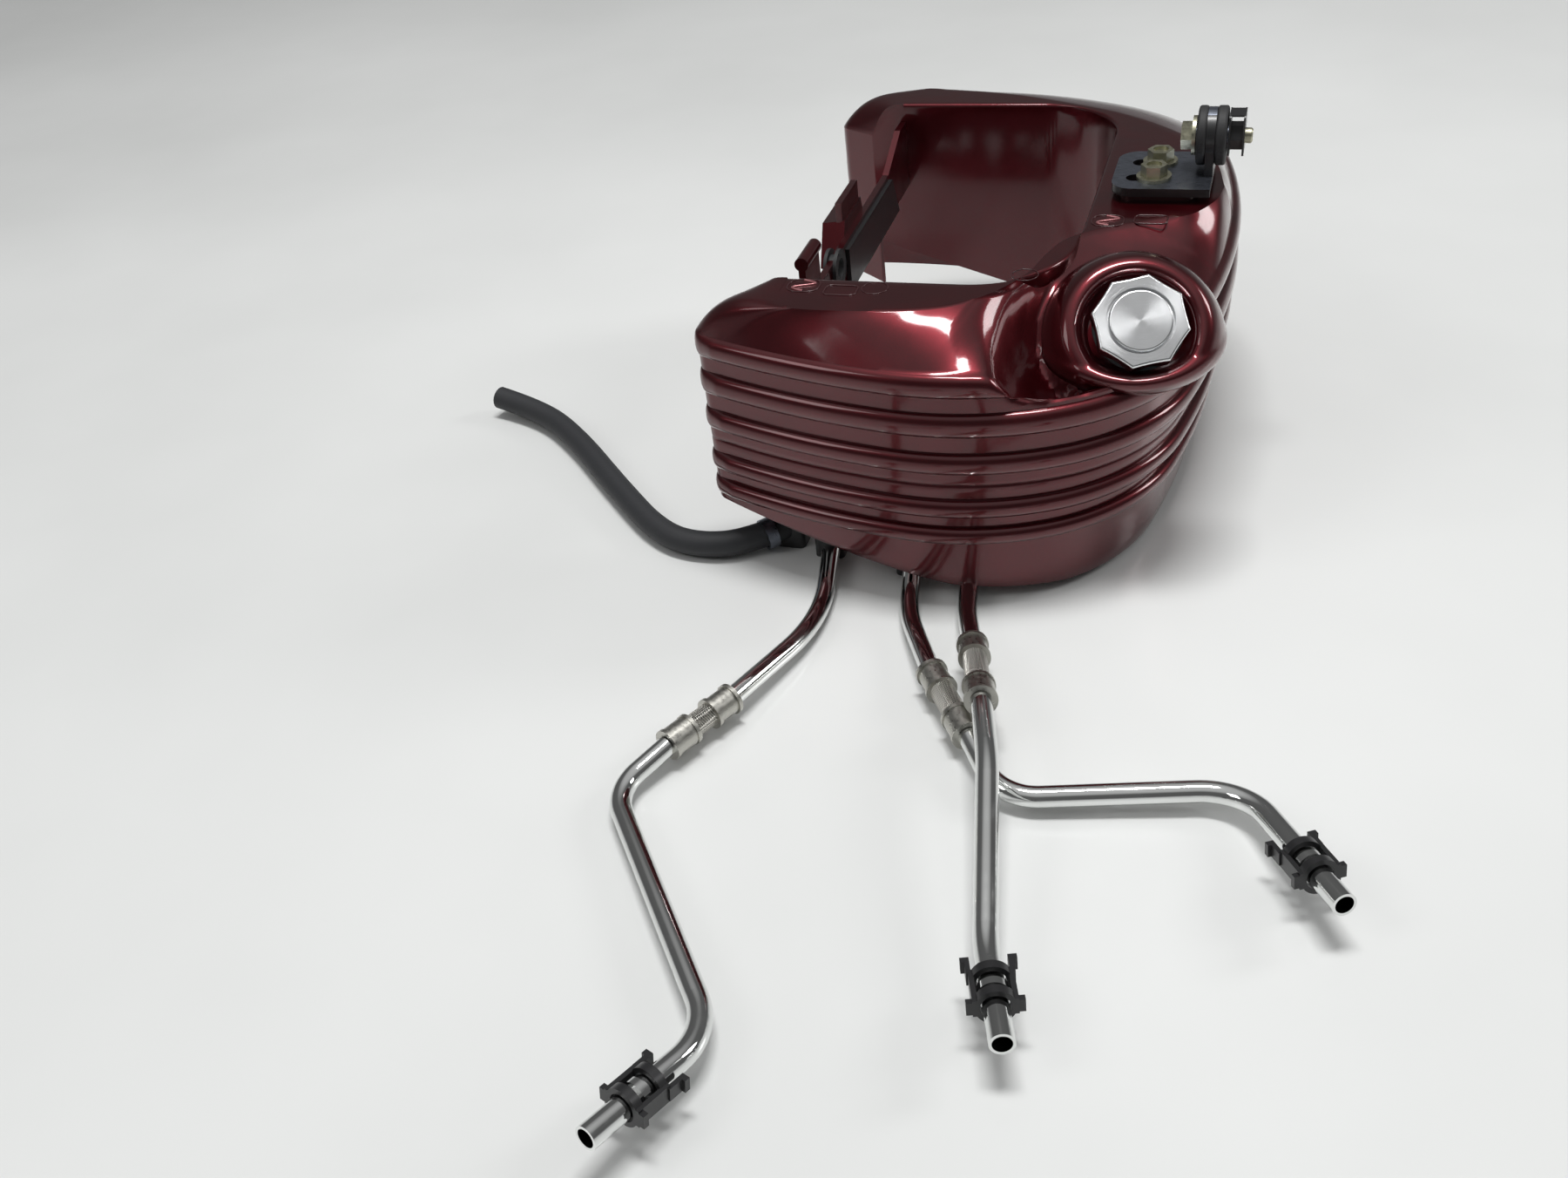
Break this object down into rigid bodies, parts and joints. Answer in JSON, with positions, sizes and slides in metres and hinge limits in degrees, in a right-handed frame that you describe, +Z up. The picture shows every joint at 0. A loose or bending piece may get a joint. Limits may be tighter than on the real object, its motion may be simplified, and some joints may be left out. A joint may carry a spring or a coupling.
{
  "type": "motorcycle oil tank",
  "caption": "Ribbed horseshoe oil tank that wraps a battery, with filler cap, ear bracket, three quick-connect oil lines and a drain hose.",
  "frame": {"origin": "centre of the flat rest pad under the closed end, on the floor", "axes": "+X forward, out of the closed end of the horseshoe; +Y to the vehicle's left, away from the filler; +Z up"},
  "size_m": [0.423, 0.5756, 0.153],
  "materials": {
    "paint": "deep candy red metallic under clear coat",
    "chrome": "bright chrome plate",
    "nickel": "dull nickel plate",
    "steel": "bare brushed steel",
    "zinc": "yellow zinc plate",
    "alu": "spun aluminium",
    "black_plastic": "black moulded plastic",
    "rubber": "black rubber",
    "black_metal": "black painted steel"
  },
  "bodies": {
    "tank": {"bracket_bolts": "zinc", "bracket_pad": "paint", "bridge_grommet": "rubber", "bridge_hook": "paint", "bridge_strap": "black_metal", "bridge_tab": "paint", "drain_fitting": "black_metal", "drain_hose": "rubber", "drain_plug": "steel", "ear_bolt": "zinc", "ear_clip": "black_metal", "ear_grommet": "rubber", "ear_nut": "zinc", "ear_sleeve": "steel", "ear_washer": "zinc", "feed_strainer": "steel", "filler_neck": "paint", "hose_clamp": "steel", "line_1_braid": "nickel", "line_1_fitting": "black_metal", "line_1_upper_ferrule": "nickel", "line_1_upper_tube": "chrome", "line_2_braid": "nickel", "line_2_fitting": "black_metal", "line_2_upper_ferrule": "nickel", "line_2_upper_tube": "chrome", "line_3_braid": "nickel", "line_3_fitting": "black_metal", "line_3_upper_ferrule": "nickel", "line_3_upper_tube": "chrome", "mount_bracket": "steel", "rear_bridge": "paint", "return_standpipe": "steel", "sump_pad": "paint", "surge_baffle": "steel", "tank_lower_shell": "paint", "tank_upper_shell": "paint", "thread_inserts": "steel", "vent_fitting": "black_metal", "vent_standpipe": "steel"},
    "cap": {"cap_disc": "alu", "dipstick": "steel", "filler_cap": "alu"},
    "cap_carrier": {"cap_seal": "rubber"},
    "line_1_retainer": {"line_1_clip": "black_plastic"},
    "line_1_tail": {"line_1_lower_ferrule": "nickel", "line_1_lower_tube": "chrome"},
    "line_2_retainer": {"line_2_clip": "black_plastic"},
    "line_2_tail": {"line_2_lower_ferrule": "nickel", "line_2_lower_tube": "chrome"},
    "line_3_retainer": {"line_3_clip": "black_plastic"},
    "line_3_tail": {"line_3_lower_ferrule": "nickel", "line_3_lower_tube": "chrome"}
  },
  "joints": [
    {"name": "cap_lift", "type": "slide", "parent": "tank", "child": "cap_carrier", "axis": [0.2008, -0.6826, 0.7027], "range_m": [0, 0.008]},
    {"name": "cap_turn", "type": "hinge", "parent": "cap_carrier", "child": "cap", "pos_m": [0.001, -0.093, 0.097], "axis": [0.2008, -0.6826, 0.7027], "range_deg": [0, 720]},
    {"name": "line_1_flex", "type": "hinge", "parent": "tank", "child": "line_1_tail", "pos_m": [-0.14142, -0.25184, 0.009], "axis": [0, 0, 1], "range_deg": [-6, 6], "stiffness_Nm_per_rad": 6},
    {"name": "line_1_release", "type": "slide", "parent": "line_1_tail", "child": "line_1_retainer", "axis": [-0.369, -0.9128, 0.1748], "range_m": [-0.002, 0.002]},
    {"name": "line_2_flex", "type": "hinge", "parent": "tank", "child": "line_2_tail", "pos_m": [-0.04229, -0.22725, 0.009], "axis": [0, 0, 1], "range_deg": [-6, 6], "stiffness_Nm_per_rad": 6},
    {"name": "line_2_release", "type": "slide", "parent": "line_2_tail", "child": "line_2_retainer", "axis": [0.4882, -0.8584, 0.1575], "range_m": [-0.002, 0.002]},
    {"name": "line_3_flex", "type": "hinge", "parent": "tank", "child": "line_3_tail", "pos_m": [-0.0361, -0.22148, 0.02025], "axis": [0, 0, 1], "range_deg": [-6, 6], "stiffness_Nm_per_rad": 6},
    {"name": "line_3_release", "type": "slide", "parent": "line_3_tail", "child": "line_3_retainer", "axis": [0.3065, -0.9449, 0.1149], "range_m": [-0.002, 0.002]}
  ],
  "couplings": [
    {"joint": "cap_lift", "follows": "cap_turn", "m_per_rad": 0.000636}
  ]
}
